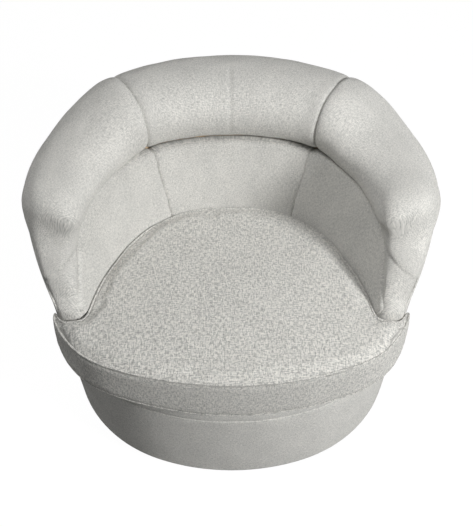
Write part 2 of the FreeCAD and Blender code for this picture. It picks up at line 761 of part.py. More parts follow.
def make_roll():
    """The fat roll on the rim: one piece round the back and one along each arm."""
    under = wall_zone(SEAT_RING_TOP_Z, WALL_TOP_Z + FIT)
    low, high = FLOOR_GAP, RIM_BACK_Z + 60.0
    cover = barrel(-30.0, low, high).cut(barrel(COVER_T + FIT, low - 1, high + 1))
    around = [*under, cover.common(rim_profile(-FIT))]

    bearings = [*ROLL_BACK_BEARINGS, 90.0]
    bearings += [180.0 - b for b in reversed(ROLL_BACK_BEARINGS)]
    back = skinned([roll_section(b, 1.0) for b in bearings])
    back = back.common(seam_wedge(ROLL_SEAM, 0.0, 300, 900))
    save("roll_back", largest(back.cut(around)))

    arm = skinned([roll_section(*station) for station in ROLL_ARM_STATIONS])
    arm = largest(arm.cut([*around, seam_wedge(ROLL_SEAM, FIT, 300, 900)]))
    save_pair("roll_arm", arm)


def spring(x):
    """A sinuous spring of square wire: cross runs joined by half rings, in the plane of the deck."""
    rear_y = Face(SEAT_RING_TOP_Z, -WELL_INSET).rear_y(x) + CLIP_SIZE[1] * 0.5
    front_y = WELL_FRONT_Y - CLIP_SIZE[1] * 0.5
    runs = 2 * round((rear_y - front_y) / SPRING_PITCH / 2.0) + 1
    pitch = (rear_y - front_y) / runs
    reach = SPRING_HALF_WIDTH - pitch / 2.0
    hook = CLIP_SIZE[0] * 0.3
    half = SPRING_WIRE / 2.0
    low = SPRING_Z - half
    pieces = []
    for i in range(runs + 1):
        y = front_y + pitch * i
        first = -hook if i == 0 else -reach
        last = hook if i == runs else reach
        start = Vector(x + first, y - half, low)
        pieces.append(Part.makeBox(last - first, SPRING_WIRE, SPRING_WIRE, start))
        if i < runs:
            side = 1.0 if i % 2 == 0 else -1.0
            middle = Vector(x + side * reach, y + pitch / 2.0, low)
            way = Vector(0, 0, 1)
            turn = (-90.0, 90.0) if side > 0 else (90.0, 270.0)
            outer = Part.makeCylinder(pitch / 2.0 + half, SPRING_WIRE, middle, way, 180.0)
            inner = Part.makeCylinder(pitch / 2.0 - half, SPRING_WIRE, middle, way, 180.0)
            ring = outer.cut(inner)
            ring.rotate(middle, way, turn[0])
            pieces.append(ring)
    whole = pieces[0].fuse(pieces[1:]).removeSplitter()
    return largest(whole), front_y, rear_y


def make_deck():
    """Springs in their clips, then the sheet, pad and cloth that the loose cushion lies on."""
    springs, clips = [], []
    for x in SPRING_XS:
        solid, front_y, rear_y = spring(x)
        springs.append(solid)
        for y in (front_y, rear_y):
            w, d, h = CLIP_SIZE
            clip = Part.makeBox(w, d, h, Vector(x - w / 2, y - d / 2, SEAT_RING_TOP_Z))
            clips.append(clip.cut(solid))
    save("sinuous_springs", *springs)
    save("spring_clips", *[largest(c) for c in clips])

    front = DECK_FRONT_Y
    blocks = wall_zone(0, DECK_Z + 20.0)

    def layer(low, high, inset):
        whole = barrel(inset, low, high)
        whole = whole.common(Part.makeBox(TALL, TALL, TALL, Vector(-TALL / 2, front + FIT, 0)))
        return largest(whole.cut(blocks))

    save("spring_insulator", layer(INSULATOR_Z, INSULATOR_Z + INSULATOR_T, DECK_EDGE_INSET))
    save("deck_pad", layer(DECK_PAD_Z, DECK_PAD_TOP_Z, DECK_EDGE_INSET))
    save("deck_cloth", layer(DECK_PAD_TOP_Z + FIT, DECK_Z, DECK_EDGE_INSET))

    low = SEAT_RING_TOP_Z + FIT
    steps = [(low, 0.0)]
    for share in (0.0, 0.35, 0.7, 1.0):
        turn = math.radians(90.0 * share)
        z = DECK_Z - FRONT_ROLL_RADIUS * (1.0 - math.sin(turn))
        steps.append((z, FRONT_ROLL_RADIUS * (1.0 - math.cos(turn))))
    lip = Part.makeLoft([wire(Oval(z, inset).arcs(), z) for z, inset in steps], True, True)
    core = barrel(DECK_EDGE_INSET - FIT, low - 1, DECK_Z + 1)
    core = core.common(Part.makeBox(TALL, TALL, TALL, Vector(-TALL / 2, front, 0)))
    lip = lip.cut([core, *blocks])
    lip = lip.common(Part.makeBox(TALL, TALL, TALL, Vector(-TALL / 2, -TALL, 0)))
    save("front_roll", largest(lip.cut(behind_nose(FRONT_ROLL_END))))


def cushion_plan(low, high, inset):
    """The T shape of the loose cushion between two heights, its sides moved in by inset."""
    radius = CUSHION_FRONT_R - inset
    turn = math.radians(CUSHION_FRONT_ANGLE)
    top = CUSHION_FRONT_Y + CUSHION_FRONT_R
    x1, y1 = CUSHION_FRONT_R * math.sin(turn), top - CUSHION_FRONT_R * math.cos(turn)
    side_r = (CUSHION_HALF_WIDTH - x1) / (1.0 - math.sin(turn))
    centre = (x1 - side_r * math.sin(turn), y1 + side_r * math.cos(turn))
    side_r -= inset
    back_y = CUSHION_WING_BACK_Y - inset
    end = math.degrees(math.asin((back_y - centre[1]) / side_r))
    right = (centre, side_r, end, CUSHION_FRONT_ANGLE - 90.0)
    front = ((0.0, top), radius, CUSHION_FRONT_ANGLE - 90.0, -90.0 - CUSHION_FRONT_ANGLE)
    curve = wire([right, front, mirrored(right)], low)
    x, y = polar(centre, side_r, end)
    outline = Part.Wire([*curve.Edges, Part.makeLine(Vector(-x, y, low), Vector(x, y, low))])
    wing = Part.Face(outline).extrude(Vector(0, 0, high - low))
    tip = CUSHION_TIP_X - inset
    wing = wing.common(Part.makeBox(2 * tip, TALL, TALL, Vector(-tip, -TALL / 2, 0)))
    gap = CUSHION_GAP + inset
    seat = tub_room(low, high, -gap - FIT).common(behind_nose(-30.0))
    ends, around = wall_zone(0.0, TALL, gap)
    wing = wing.cut(ends)
    return largest(wing.cut(around).fuse(seat.cut(ends)).removeSplitter())


def make_cushion():
    """The loose cushion: a crowned foam core in a boxed cover."""
    crown = Part.makeSphere(
        CUSHION_CROWN_RADIUS, Vector(0, CUSHION_CROWN_Y, CUSHION_CROWN_Z - CUSHION_CROWN_RADIUS)
    )
    low = DECK_Z + FIT
    body = cushion_plan(low, CUSHION_CROWN_Z + 5.0, 0.0).common(crown)
    inner = Part.makeSphere(
        CUSHION_CROWN_RADIUS - COVER_CLOTH_T,
        Vector(0, CUSHION_CROWN_Y, CUSHION_CROWN_Z - CUSHION_CROWN_RADIUS),
    )
    core = cushion_plan(low + COVER_CLOTH_T, CUSHION_CROWN_Z + 5.0, COVER_CLOTH_T).common(inner)
    save("cushion_cover", largest(body).cut(largest(core)))
    save("cushion_core", largest(core))


def main():
    os.makedirs(PART_FOLDER, exist_ok=True)
    bolts = make_turntable()
    make_base_frame(bolts)
    make_frame()
    make_outside()
    make_inside()
    make_roll()
    make_deck()
    make_cushion()


if __name__ == "__main__":
    main()
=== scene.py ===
"""Looks of an upholstered swivel barrel chair, built around its fixed CAD frame.

The cover, pads, roll and loose cushion are grown out of their CAD solids as soft cloth forms,
then get welts, seams and woven materials. Metres, +Z up, the sitter faces -Y."""

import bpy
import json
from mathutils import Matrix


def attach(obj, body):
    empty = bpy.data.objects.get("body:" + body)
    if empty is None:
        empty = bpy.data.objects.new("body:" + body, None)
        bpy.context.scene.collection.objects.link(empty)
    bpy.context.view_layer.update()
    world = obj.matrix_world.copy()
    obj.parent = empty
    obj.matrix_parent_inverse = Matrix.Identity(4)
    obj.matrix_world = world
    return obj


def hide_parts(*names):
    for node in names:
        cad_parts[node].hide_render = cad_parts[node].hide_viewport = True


bl_info = {
    "name": "Swivel Barrel Chair",
    "version": (1, 0, 0),
    "blender": (4, 5, 0),
    "location": "3D View > Sidebar > Barrel Chair",
    "description": "Builds the upholstery, materials and studio of a swivel barrel chair",
    "category": "Object",
}

import json
import math

import bpy
import bmesh
import numpy as np
from bpy.props import FloatProperty, FloatVectorProperty, IntProperty, PointerProperty
from bpy.types import Operator, Panel, PropertyGroup
from mathutils import Vector, noise
from mathutils.bvhtree import BVHTree

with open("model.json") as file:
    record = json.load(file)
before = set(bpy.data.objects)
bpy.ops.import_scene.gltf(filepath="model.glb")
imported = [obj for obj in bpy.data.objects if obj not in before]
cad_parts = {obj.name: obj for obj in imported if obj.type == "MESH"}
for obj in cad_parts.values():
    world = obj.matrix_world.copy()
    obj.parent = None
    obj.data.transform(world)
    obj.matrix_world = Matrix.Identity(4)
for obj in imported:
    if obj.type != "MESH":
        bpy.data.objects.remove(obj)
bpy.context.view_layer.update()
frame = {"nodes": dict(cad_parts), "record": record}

SEAT_BODY = "seat_body"
CUSHION_BODY = "seat_cushion"
SEAM_Z = 0.2548  # seam across the front of the tub, below the loose cushion
ARM_SEAM_X = 0.405  # the sewn joint on an arm front starts here, at the outer edge
ARM_SEAM_Z = 0.482
ARM_SEAM_RISE = 0.7  # and climbs this much for each metre inwards
ARM_FILL = 0.010  # how far the arm front is filled out towards its welt
ARM_TUCK = 0.014  # how far its foot is pulled back behind the cushion
CENTRE = (0.0, -0.05)  # the plan point that the weave of the walls runs round


# Settings


class FabricSettings(PropertyGroup):
    """Colours and weave of the two cloths."""

    body_colour: FloatVectorProperty(
        name="Body cloth", description="Colour of the cloth on the tub", subtype="COLOR",
        size=3, min=0.0, max=1.0, default=(0.56, 0.557, 0.53),
    )
    seat_colour: FloatVectorProperty(
        name="Seat cloth", description="Colour of the coarser cloth on the loose cushion",
        subtype="COLOR", size=3, min=0.0, max=1.0, default=(0.575, 0.572, 0.543),
    )
    body_thread: FloatProperty(
        name="Body thread", description="Distance between threads of the tub's cloth",
        default=0.0022, min=0.0005, max=0.01, unit="LENGTH", precision=4,
    )
    seat_thread: FloatProperty(
        name="Seat thread", description="Distance between threads of the cushion's cloth",
        default=0.0027, min=0.0005, max=0.01, unit="LENGTH", precision=4,
    )


class UpholsterySettings(PropertyGroup):
    """How full the soft pieces are and how fine their meshes are."""

    voxel: FloatProperty(
        name="Mesh size", description="Size of the cells that the soft pieces are remeshed with",
        default=0.0055, min=0.003, max=0.02, unit="LENGTH", precision=4,
    )
    pressure: FloatProperty(
        name="Filling", description="Pressure that swells each padded piece", default=4.0, min=0.0,
        max=20.0,
    )
    cushion_swell: FloatProperty(
        name="Cushion swell", description="Furthest that the cushion's cloth may move outwards",
        default=0.007, min=0.0, max=0.03, unit="LENGTH", precision=4,
    )
    ease: FloatProperty(
        name="Pad fullness", description="How far the cloth of a pad stands off its foam",
        default=0.0028, min=0.0, max=0.03, unit="LENGTH", precision=4,
    )
    welt: FloatProperty(
        name="Welt", description="Diameter of the piping along the edges", default=0.006,
        min=0.002, max=0.02, unit="LENGTH", precision=4,
    )
    columns: IntProperty(
        name="Columns", description="Columns of faces round the outside cover", default=540,
        min=60, max=2000,
    )


# Mesh tools


def node_mesh(node):
    """A welded copy of a CAD node's mesh."""
    source = frame["nodes"][node]
    mesh = source.data.copy()
    mesh.transform(source.matrix_world)
    mesh.materials.clear()
    bm = bmesh.new()
    bm.from_mesh(mesh)
    bmesh.ops.remove_doubles(bm, verts=bm.verts, dist=1e-6)
    bm.to_mesh(mesh)
    bm.free()
    return mesh


def outer_part(mesh):
    """Keeps the connected piece with the largest box: the skin, without an inner wall."""
    bm = bmesh.new()
    bm.from_mesh(mesh)
    left = set(bm.verts)
    groups = []
    while left:
        stack = [left.pop()]
        group = set(stack)
        while stack:
            for edge in stack.pop().link_edges:
                for other in edge.verts:
                    if other in left:
                        left.discard(other)
                        group.add(other)
                        stack.append(other)
        groups.append(group)
    groups.sort(key=lambda g: max(v.co.x for v in g) - min(v.co.x for v in g))
    for group in groups[:-1]:
        bmesh.ops.delete(bm, geom=list(group), context="VERTS")
    bm.to_mesh(mesh)
    bm.free()
    return mesh


def add_object(name, mesh):
    obj = bpy.data.objects.new(name, mesh)
    bpy.context.scene.collection.objects.link(obj)
    return obj


def evaluated(obj):
    """The object's mesh with its modifiers applied."""
    graph = bpy.context.evaluated_depsgraph_get()
    graph.update()
    return bpy.data.meshes.new_from_object(obj.evaluated_get(graph), depsgraph=graph)


def points_of(mesh):
    co = np.empty(len(mesh.vertices) * 3)
    mesh.vertices.foreach_get("co", co)
    return co.reshape(-1, 3)


def set_points(mesh, co):
    mesh.vertices.foreach_set("co", np.ascontiguousarray(co, dtype=np.float64).ravel())
    mesh.update()


def normals_of(mesh):
    vn = np.empty(len(mesh.vertices) * 3, dtype=np.float32)
    mesh.vertex_normals.foreach_get("vector", vn)
    return vn.reshape(-1, 3).astype(float)


def relax(mesh, rounds, share=0.5, mask=None):
    """Rounds a mesh off by moving each point towards the mean of its neighbours."""
    co = points_of(mesh)
    if mask is not None:
        share = share * mask[:, None]
    edges = np.empty(len(mesh.edges) * 2, dtype=np.int64)
    mesh.edges.foreach_get("vertices", edges)
    a, b = edges.reshape(-1, 2).T
    count = np.bincount(a, minlength=len(co)) + np.bincount(b, minlength=len(co))
    count = np.maximum(count, 1)[:, None]
    for _ in range(rounds):
        total = np.zeros_like(co)
        np.add.at(total, a, co[b])
        np.add.at(total, b, co[a])
        co += share * (total / count - co)
    set_points(mesh, co)
    return mesh


def remeshed(mesh, voxel, name):
    obj = add_object(name + "_work", mesh)
    mod = obj.modifiers.new("Remesh", "REMESH")
    mod.mode = "VOXEL"
    mod.voxel_size = voxel
    mod.use_smooth_shade = True
    made = evaluated(obj)
    bpy.data.objects.remove(obj)
    made.name = name
    return made


def inflated(mesh, pressure, cap, name):
    """The mesh swollen by Cloth under pressure: points only move outwards, and no further than cap."""
    obj = add_object(name + "_cloth", mesh)
    mod = obj.modifiers.new("Cloth", "CLOTH")
    cloth = mod.settings
    cloth.quality = 5
    cloth.mass = 0.3
    cloth.tension_stiffness = 25
    cloth.compression_stiffness = 25
    cloth.shear_stiffness = 12
    cloth.bending_stiffness = 1.5
    cloth.use_pressure = True
    cloth.uniform_pressure_force = pressure
    cloth.effector_weights.gravity = 0
    mod.collision_settings.use_collision = False
    scene = bpy.context.scene
    mod.point_cache.frame_start, mod.point_cache.frame_end = 1, 20
    for step in range(1, 21):
        scene.frame_set(step)
    made = evaluated(obj)
    scene.frame_set(1)
    before, way = points_of(mesh), normals_of(mesh)
    out = ((points_of(made) - before) * way).sum(axis=1)
    bpy.data.objects.remove(obj)
    bpy.data.meshes.remove(made)
    set_points(mesh, before + way * np.clip(out, 0.0, cap)[:, None])
    return mesh


def ripple(co, size, seed):
    """Smooth noise from -1 to 1 at each point."""
    out = np.empty(len(co))
    for i, p in enumerate(co / size):
        out[i] = noise.noise(Vector((p[0] + seed, p[1] - seed, p[2] + 2 * seed)))
    return out


def store_weave(mesh, uv):
    """Keeps the place of each point on its cloth, in metres, for the woven materials."""
    layer = mesh.attributes.new("cloth_place", "FLOAT_VECTOR", "POINT")
    flat = np.zeros((len(uv), 3), dtype=np.float32)
    flat[:, :2] = uv
    layer.data.foreach_set("vector", flat.ravel())


def wall_place(co):
    """Round the tub and up: the lie of the cloth on its walls."""
    ahead = 1.0 if co[:, 1].mean() > 0.08 else -1.0  # the jump of the angle stays off the piece
    turn = np.arctan2(co[:, 0] - CENTRE[0], ahead * (co[:, 1] - CENTRE[1]))
    return np.stack([turn * 0.4, co[:, 2]], axis=1)


def roll_place(co):
    """Along the roll and round its section."""
    x, y = co[:, 0] - CENTRE[0], co[:, 1] - CENTRE[1]
    turn = np.arctan2(x, y if co[:, 1].mean() > 0.2 else -y)
    radius = np.hypot(x, y)
    bins = np.clip(((turn + math.pi) / (2 * math.pi) * 72).astype(int), 0, 71)
    count = np.maximum(np.bincount(bins, minlength=72), 1)
    mid_r = np.bincount(bins, radius, minlength=72) / count
    mid_z = np.bincount(bins, co[:, 2], minlength=72) / count
    spread = np.linspace(-math.pi, math.pi, 73)[:-1] + math.pi / 72
    used = np.bincount(bins, minlength=72) > 0
    mid_r = np.interp(turn, spread[used], mid_r[used])
    mid_z = np.interp(turn, spread[used], mid_z[used])
    section = np.arctan2(radius - mid_r, co[:, 2] - mid_z + 1e-9)
    return np.stack([turn * 0.36, section * 0.1], axis=1)


def cushion_place(mesh, co):
    """Flat on the top of the cushion, and round its border on the sides."""
    vn = normals_of(mesh)
    place = np.stack([co[:, 0], co[:, 1]], axis=1)
    side = np.abs(vn[:, 2]) < 0.6
    turn = np.arctan2(co[:, 0], -(co[:, 1] + 0.1))
    place[side] = np.stack([turn[side] * 0.42, co[side, 2]], axis=1)
    return place


def finish_piece(name, mesh, material, body, node, smooth=True):
    mesh.name = name
    mesh.materials.clear()
    mesh.materials.append(material)
    if smooth:
        mesh.polygons.foreach_set("use_smooth", [True] * len(mesh.polygons))
    obj = add_object(name, mesh)
    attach(obj, body)
    if node:
        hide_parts(*([node] if isinstance(node, str) else node))
    return obj


def sharp_chain(mesh, keep):
    """The longest chain of edges that keep(edge, normal_a, normal_b) accepts, as points."""
    bm = bmesh.new()
    bm.from_mesh(mesh)
    pairs = [e for e in bm.edges if len(e.link_faces) == 2]
    edges = [e for e in pairs if keep(e, *[f.normal for f in e.link_faces])]
    links = {}
    for edge in edges:
        a, b = edge.verts
        links.setdefault(a, []).append(b)
        links.setdefault(b, []).append(a)
    best = []
    seen = set()
    ends = [v for v in links if len(links[v]) == 1] + list(links)
    for start in ends:
        if start in seen:
            continue
        chain = [start]
        seen.add(start)
        while True:
            nexts = [v for v in links[chain[-1]] if v not in seen]
            if not nexts:
                break
            seen.add(nexts[0])
            chain.append(nexts[0])
        closed = len(chain) > 3 and chain[0] in links[chain[-1]]
        length = sum((a.co - b.co).length for a, b in zip(chain, chain[1:]))
        if not best or length > best[0]:
            best = [length, [v.co.copy() for v in chain], closed]
    bm.free()
    return best[1], best[2]


def spaced(points, step, closed):
    """Points at an even distance along a chain."""
    pts = np.array([list(p) for p in points])
    if closed:
        pts = np.vstack([pts, pts[:1]])
    run = np.concatenate([[0.0], np.cumsum(np.linalg.norm(np.diff(pts, axis=0), axis=1))])
    count = max(int(run[-1] / step), 4)
    marks = np.linspace(0.0, run[-1], count + 1)
    out = np.stack([np.interp(marks, run, pts[:, k]) for k in range(3)], axis=1)
    return out[:-1] if closed else out


def even_path(path, rounds, closed):
    """The same path with its small steps smoothed out."""
    for _ in range(rounds):
        if closed:
            path = (np.roll(path, 1, 0) + 2 * path + np.roll(path, -1, 0)) / 4
        else:
            path[1:-1] = (path[:-2] + 2 * path[1:-1] + path[2:]) / 4
    return path


def tube_mesh(name, path, radius, closed, sides=10):
    """A round welt along a path, with the lie of its cloth stored."""
    ahead = (np.roll(path, -1, 0) - np.roll(path, 1, 0)) if closed else np.gradient(path, axis=0)
    ahead /= np.maximum(np.linalg.norm(ahead, axis=1), 1e-9)[:, None]
    across = np.cross(ahead, [0.0, 0.0, 1.0])
    across /= np.maximum(np.linalg.norm(across, axis=1), 1e-9)[:, None]
    up = np.cross(across, ahead)
    run = np.concatenate([[0.0], np.cumsum(np.linalg.norm(np.diff(path, axis=0), axis=1))])
    verts, place = [], []
    for i in range(len(path)):
        for k in range(sides):
            turn = 2 * math.pi * k / sides
            verts.append(path[i] + radius * (math.cos(turn) * across[i] + math.sin(turn) * up[i]))
            place.append((run[i], turn * radius))
    rings = len(path)
    faces = []
    for i in range(rings if closed else rings - 1):
        j = (i + 1) % rings
        for k in range(sides):
            m = (k + 1) % sides
            faces.append((i * sides + k, j * sides + k, j * sides + m, i * sides + m))
    if not closed:
        faces.append(tuple(range(sides)))
        faces.append(tuple((rings - 1) * sides + k for k in reversed(range(sides))))
    mesh = bpy.data.meshes.new(name)
    mesh.from_pydata([list(v) for v in verts], [], faces)
    mesh.update()
    store_weave(mesh, np.array(place))
    return mesh


def seated(path, mesh, lift):
    """The path laid on the surface of a mesh, and lifted off it by so much."""
    bm = bmesh.new()
    bm.from_mesh(mesh)
    tree = BVHTree.FromBMesh(bm)
    out = []
    for p in path:
        spot, normal, _, _ = tree.find_nearest(Vector(p))
        out.append(list(spot + normal * lift))
    bm.free()
    return np.array(out)


# Materials


class Nodes:
    """Short calls to add and join the nodes of one material."""

    def __init__(self, name):
        self.material = bpy.data.materials.new(name)
        self.material.use_nodes = True
        self.tree = self.material.node_tree
        self.tree.nodes.clear()
        self.out = self.add("ShaderNodeOutputMaterial")
        self.shader = self.add("ShaderNodeBsdfPrincipled")
        self.link(self.shader.outputs["BSDF"], self.out.inputs["Surface"])

    def add(self, kind, **values):
        node = self.tree.nodes.new(kind)
        for key, value in values.items():
            setattr(node, key, value)
        return node

    def link(self, source, target):
        self.tree.links.new(source, target)

    def math(self, operation, a, b=None, c=None, clamp=False):
        node = self.add("ShaderNodeMath", operation=operation, use_clamp=clamp)
        for socket, value in zip(node.inputs, (a, b, c)):
            if value is None:
                continue
            if isinstance(value, (int, float)):
                socket.default_value = value
            else:
                self.link(value, socket)
        return node.outputs[0]

    def noise(self, place, scale, detail=2.0, rough=0.5, stretch=(1.0, 1.0, 1.0)):
        mapping = self.add("ShaderNodeMapping")
        mapping.inputs["Scale"].default_value = [scale * s for s in stretch]
        self.link(place, mapping.inputs["Vector"])
        node = self.add("ShaderNodeTexNoise")
        node.inputs["Scale"].default_value = 1.0
        node.inputs["Detail"].default_value = detail
        node.inputs["Roughness"].default_value = rough
        self.link(mapping.outputs["Vector"], node.inputs["Vector"])
        return node.outputs["Fac"]

    def ramp(self, value, stops):
        node = self.add("ShaderNodeValToRGB")
        ramp = node.color_ramp
        while len(ramp.elements) < len(stops):
            ramp.elements.new(0.5)
        for element, (at, colour) in zip(ramp.elements, stops):
            element.position = at
            element.color = (*colour, 1.0)
        self.link(value, node.inputs["Fac"])
        return node.outputs["Color"]

    def bump(self, height, strength, distance):
        node = self.add("ShaderNodeBump")
        node.inputs["Strength"].default_value = strength
        node.inputs["Distance"].default_value = distance
        self.link(height, node.inputs["Height"])
        self.link(node.outputs["Normal"], self.shader.inputs["Normal"])


def shaded(colour, share):
    return tuple(min(max(c * share, 0.0), 1.0) for c in colour)


def woven_cloth(name, colour, pitch, contrast, slub, relief):
    """Plain weave with uneven slubby threads both ways, soft pile sheen and faint blotches."""
    m = Nodes(name)
    place = m.add("ShaderNodeAttribute", attribute_name="cloth_place").outputs["Vector"]
    split = m.add("ShaderNodeSeparateXYZ")
    m.link(place, split.inputs[0])
    # threads wander a little
    wander = m.math("MULTIPLY", m.math("SUBTRACT", m.noise(place, 60.0, 1.0), 0.5), pitch * 1.6)
    u = m.math("ADD", split.outputs["X"], wander)
    v = m.math("ADD", split.outputs["Y"], wander)
    turn_u = m.math("SINE", m.math("MULTIPLY", u, math.pi / pitch))
    turn_v = m.math("SINE", m.math("MULTIPLY", v, math.pi / pitch))
    over = m.math("MULTIPLY_ADD", m.math("MULTIPLY", turn_u, turn_v), 1.5, 0.5, clamp=True)
    warp = m.math("MULTIPLY", m.math("ABSOLUTE", turn_u), over)
    weft = m.math("MULTIPLY", m.math("ABSOLUTE", turn_v), m.math("SUBTRACT", 1.0, over))
    weave = m.math("ADD", warp, weft)
    # slubs run along single threads, so their noise is stretched along each direction
    along = m.noise(place, 1.0, 2.0, 0.6, (0.30 / pitch, 0.95 / pitch, 1.0))
    across = m.noise(place, 1.0, 2.0, 0.6, (0.95 / pitch, 0.26 / pitch, 1.0))
    slubs = m.math("ADD", along, across)
    fuzz = m.noise(place, 0.9 / pitch, 3.0, 0.7)
    blotch = m.noise(place, 13.0, 3.0, 0.6)
    tone = m.math("MULTIPLY", m.math("SUBTRACT", slubs, 1.0), slub)
    tone = m.math("ADD", tone, m.math("MULTIPLY", m.math("SUBTRACT", weave, 0.55), contrast))
    tone = m.math("ADD", tone, m.math("MULTIPLY", m.math("SUBTRACT", fuzz, 0.5), contrast * 2.2))
    tone = m.math("ADD", tone, m.math("MULTIPLY", m.math("SUBTRACT", blotch, 0.5), 0.45))
    tone = m.math("ADD", tone, 0.5, clamp=True)
    cool = shaded(colour, 0.62)
    warm = shaded((colour[0] * 1.02, colour[1], colour[2] * 0.985), 1.38)
    m.link(m.ramp(tone, [(0.0, cool), (0.5, colour), (1.0, warm)]), m.shader.inputs["Base Color"])
    height = m.math("ADD", weave, m.math("MULTIPLY", slubs, 0.8))
    height = m.math("ADD", height, m.math("MULTIPLY", fuzz, 0.5))
    m.bump(height, relief, pitch * 0.5)
    m.shader.inputs["Roughness"].default_value = 0.95
    m.shader.inputs["Specular IOR Level"].default_value = 0.2
    m.shader.inputs["Sheen Weight"].default_value = 0.18
    m.shader.inputs["Sheen Roughness"].default_value = 0.6
    return m.material


def grained(name, colour, scale, stretch, depth, rough, relief=0.15, metal=0.0, edge=0.25):
    """Wood, board, metal, plastic or foam: a colour broken up by stretched noise."""
    m = Nodes(name)
    place = m.add("ShaderNodeTexCoord").outputs["Object"]
    grain = m.noise(place, scale, 5.0, 0.6, stretch)
    broad = m.noise(place, scale * 0.12, 2.0, 0.5)
    tone = m.math("ADD", m.math("MULTIPLY", grain, 1.0 - edge), m.math("MULTIPLY", broad, edge))
    low, high = shaded(colour, 1.0 - depth), shaded(colour, 1.0 + depth)
    m.link(m.ramp(tone, [(0.3, low), (0.7, high)]), m.shader.inputs["Base Color"])
    m.link(m.math("MULTIPLY_ADD", grain, 0.2, rough - 0.1, clamp=True), m.shader.inputs["Roughness"])
    m.shader.inputs["Metallic"].default_value = metal
    m.bump(grain, relief, 0.0006)
    return m.material


def layered_ply(name, colour):
    """Birch plywood: fine plies on the edge, quiet grain on the face."""
    m = Nodes(name)
    place = m.add("ShaderNodeTexCoord").outputs["Object"]
    split = m.add("ShaderNodeSeparateXYZ")
    m.link(place, split.inputs[0])
    plies = m.math("SINE", m.math("MULTIPLY", split.outputs["Z"], 2 * math.pi / 0.0032))
    normal = m.add("ShaderNodeNewGeometry").outputs["Normal"]
    facing = m.add("ShaderNodeSeparateXYZ")
    m.link(normal, facing.inputs[0])
    edge = m.math("SUBTRACT", 1.0, m.math("ABSOLUTE", facing.outputs["Z"]), clamp=True)
    grain = m.noise(place, 22.0, 4.0, 0.6, (1.0, 9.0, 1.0))
    tone = m.math("ADD", grain, m.math("MULTIPLY", m.math("MULTIPLY", plies, edge), 0.16))
    stops = [(0.25, shaded(colour, 0.72)), (0.75, shaded(colour, 1.18))]
    m.link(m.ramp(tone, stops), m.shader.inputs["Base Color"])
    m.shader.inputs["Roughness"].default_value = 0.6
    m.bump(tone, 0.2, 0.0005)
    return m.material


MATERIALS = {}


def materials():
    """Every finish, made once."""
    if MATERIALS:
        return MATERIALS
    cloth = bpy.context.scene.chair_fabric
    body, seat = tuple(cloth.body_colour), tuple(cloth.seat_colour)
    MATERIALS.update(
        {
            "body_fabric": woven_cloth("body_cloth", body, cloth.body_thread, 0.7, 1.3, 0.6),
            "seat_fabric": woven_cloth("seat_cloth", seat, cloth.seat_thread, 0.9, 3.0, 0.9),
            "plinth_paint": grained("stained_plinth", (0.03, 0.028, 0.026), 30.0, (1, 6, 1), 0.4, 0.4),
            "glide_plastic": grained("black_glide", (0.03, 0.03, 0.03), 300.0, (1, 1, 1), 0.2, 0.6),
            "zinc_steel": grained("zinc_steel", (0.6, 0.61, 0.6), 90.0, (1, 1, 1), 0.14, 0.35, 0.08, 1.0),
            "spring_wire": grained("spring_wire", (0.2, 0.2, 0.21), 120.0, (1, 1, 1), 0.2, 0.4, 0.1, 1.0),
            "retainer_nylon": grained("cage_nylon", (0.72, 0.71, 0.66), 200.0, (1, 1, 1), 0.06, 0.45),
            "clip_plastic": grained("clip_plastic", (0.78, 0.78, 0.74), 200.0, (1, 1, 1), 0.05, 0.45),
            "frame_ply": layered_ply("birch_ply", (0.62, 0.46, 0.29)),
            "frame_beech": grained("raw_beech", (0.6, 0.43, 0.27), 18.0, (1, 1, 10), 0.22, 0.6),
            "hardboard": grained("hardboard", (0.3, 0.2, 0.12), 260.0, (1, 1, 1), 0.2, 0.8, 0.3),
            "webbing_jute": grained("jute_webbing", (0.5, 0.4, 0.26), 420.0, (1, 1, 1), 0.3, 0.9, 0.5),
            "insulator_felt": grained("grey_felt", (0.26, 0.26, 0.27), 350.0, (1, 1, 1), 0.3, 0.95, 0.5),
            "dust_cloth": grained("black_cloth", (0.02, 0.02, 0.02), 600.0, (1, 1, 1), 0.3, 0.9, 0.4),
            "deck_cloth": grained("deck_cloth", (0.52, 0.51, 0.48), 500.0, (1, 1, 1), 0.14, 0.9, 0.4),
            "foam": grained("pale_foam", (0.8, 0.75, 0.6), 400.0, (1, 1, 1), 0.1, 0.9, 0.6),
        }
    )
    return MATERIALS


# Pieces


def moved_out(mesh, distance):
    """The mesh with each point moved along its normal."""
    set_points(mesh, points_of(mesh) + distance * normals_of(mesh))
    return mesh


def joined(meshes, name):
    """Several meshes as one."""
    bm = bmesh.new()
    for mesh in meshes:
        bm.from_mesh(mesh)
    whole = bpy.data.meshes.new(name)
    bm.to_mesh(whole)
    bm.free()
    return whole


def soft_form(nodes, name, swell, rounds, ease=0.0, bridge=0.0):
    """One or more CAD solids under one cloth: remeshed, hollows bridged, rounded off and filled."""
    made = bpy.context.scene.chair_upholstery
    mesh = joined([outer_part(node_mesh(node)) for node in nodes], name)
    mesh = remeshed(mesh, made.voxel, name)
    if bridge > 0:
        for _ in range(3):
            moved_out(relax(mesh, 1), bridge / 3)
        mesh = remeshed(mesh, made.voxel, name)
        for _ in range(3):
            moved_out(relax(mesh, 3), -bridge / 3)
    moved_out(mesh, ease)
    relax(mesh, rounds)
    if swell > 0:
        inflated(mesh, made.pressure, swell, name)
        relax(mesh, 2)
    return mesh


def kept_outside(co, node, gap):
    """Points pushed out of a solid that must stay hidden under the cloth."""
    bm = bmesh.new()
    bm.from_mesh(node_mesh(node))
    tree = BVHTree.FromBMesh(bm)
    bm.free()
    for i, p in enumerate(co):
        spot, normal, _, far = tree.find_nearest(Vector(p), 0.06)
        if spot is None:
            continue
        out = (Vector(p) - spot).dot(normal)
        if out < gap:
            co[i] += np.array(normal) * (gap - out)
    return co


